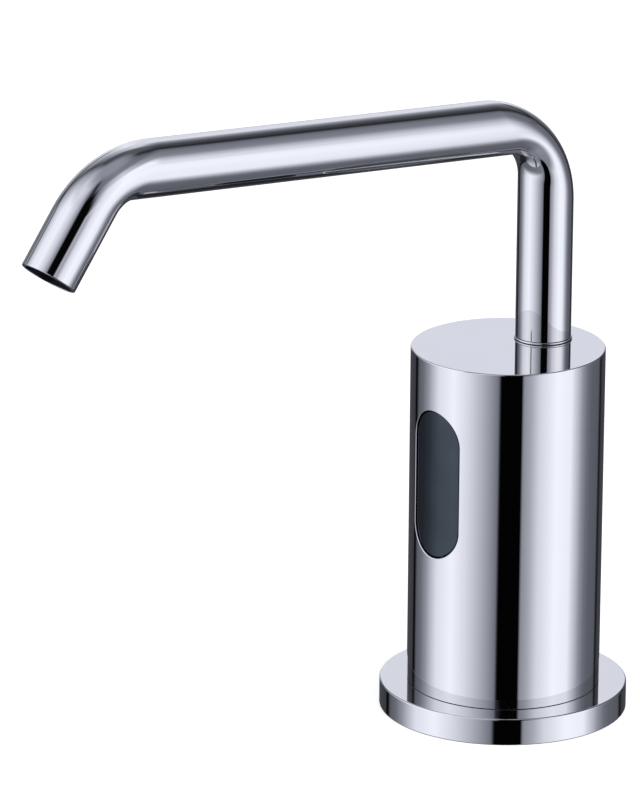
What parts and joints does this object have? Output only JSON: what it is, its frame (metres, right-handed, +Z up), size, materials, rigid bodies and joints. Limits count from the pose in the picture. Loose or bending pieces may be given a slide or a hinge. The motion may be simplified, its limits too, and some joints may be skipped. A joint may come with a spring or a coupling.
{
  "type": "automatic soap dispenser",
  "caption": "Deck-mounted automatic soap dispenser: polished cylindrical body on a round flange, with a sensor window and a bent spout tube, gear pump inside.",
  "frame": {"origin": "centre of the flange's underside, on the deck", "axes": "+Z up along the body's axis; -Y is the front, where the sensor window faces and the spout reaches; +X completes the right-handed frame"},
  "size_m": [0.0642, 0.1859, 0.1719],
  "materials": {
    "chrome": "mirror-polished chrome plate",
    "brass": "turned",
    "steel": "plain bright",
    "motor_steel": "dull plated",
    "smoked_lens": "polished, smoked",
    "black_rubber": "matt",
    "black_plastic": "fine moulded grain",
    "grey_plastic": "moulded",
    "white_plastic": "moulded, satin",
    "clear_hose": "translucent, smooth",
    "board_green": "lacquered board",
    "red_diode": "clear, moulded",
    "dark_diode": "clear, dark tint",
    "red_lead": "smooth insulation",
    "black_lead": "smooth insulation"
  },
  "bodies": {
    "housing": {"flange": "chrome", "body_shell": "chrome", "foot_ring": "chrome", "base_core": "brass", "motor_terminal_1": "brass", "motor_terminal_2": "brass", "shell_grub_screw": "steel", "chassis_screw_1": "steel", "chassis_screw_2": "steel", "chassis_screw_3": "steel", "pump_screw_1": "steel", "pump_screw_2": "steel", "pump_screw_3": "steel", "pump_screw_4": "steel", "motor_screw_1": "steel", "motor_screw_2": "steel", "board_screw_upper": "steel", "board_screw_lower": "steel", "housing_screw_left": "steel", "housing_screw_right": "steel", "valve_spring": "steel", "swivel_stop_screw": "steel", "thrust_washer": "steel", "motor_can": "motor_steel", "sensor_lens": "smoked_lens", "deck_gasket": "black_rubber", "cable_gland": "black_rubber", "shaft_seal": "black_rubber", "inlet_seal_ring": "black_rubber", "lens_gasket": "black_rubber", "pump_housing": "black_plastic", "pump_cover": "black_plastic", "motor_end_cap": "black_plastic", "sensor_housing": "black_plastic", "inlet_collet": "grey_plastic", "chassis": "grey_plastic", "valve_cap": "white_plastic", "wiring_plug": "white_plastic", "circuit_board": "board_green", "indicator_led": "red_diode", "ir_emitter": "dark_diode", "ir_receiver": "dark_diode", "motor_lead_1": "red_lead", "power_lead": "black_lead", "motor_lead_2": "black_lead"},
    "spout": {"spout_tube": "chrome", "spout_stem": "brass", "stem_seal_ring_1": "black_rubber", "stem_seal_ring_2": "black_rubber", "stem_nut": "brass", "soap_tube": "clear_hose", "nozzle": "black_plastic"},
    "drive_rotor": {"drive_gear": "white_plastic", "motor_shaft": "steel"},
    "driven_rotor": {"driven_gear": "white_plastic", "driven_shaft": "steel"},
    "check_valve": {"valve_poppet": "white_plastic"}
  },
  "joints": [
    {"name": "spout_swivel", "type": "hinge", "parent": "housing", "child": "spout", "pos_m": [0, 0.0119, 0.0971], "axis": [0, 0, 1], "range_deg": [-30, 30]},
    {"name": "drive_spin", "type": "hinge", "parent": "housing", "child": "drive_rotor", "pos_m": [-0.006, -0.001, 0.02485], "axis": [0, 0, 1], "continuous": true},
    {"name": "driven_spin", "type": "hinge", "parent": "housing", "child": "driven_rotor", "pos_m": [0.006, -0.001, 0.02485], "axis": [0, 0, 1], "continuous": true},
    {"name": "valve_lift", "type": "slide", "parent": "housing", "child": "check_valve", "axis": [0, 0, 1], "range_m": [0, 0.0015], "stiffness_N_per_m": 80, "springref_m": -0.002, "deforming": ["valve_spring"]}
  ],
  "couplings": [
    {"joint": "driven_spin", "follows": "drive_spin", "ratio": -1}
  ]
}
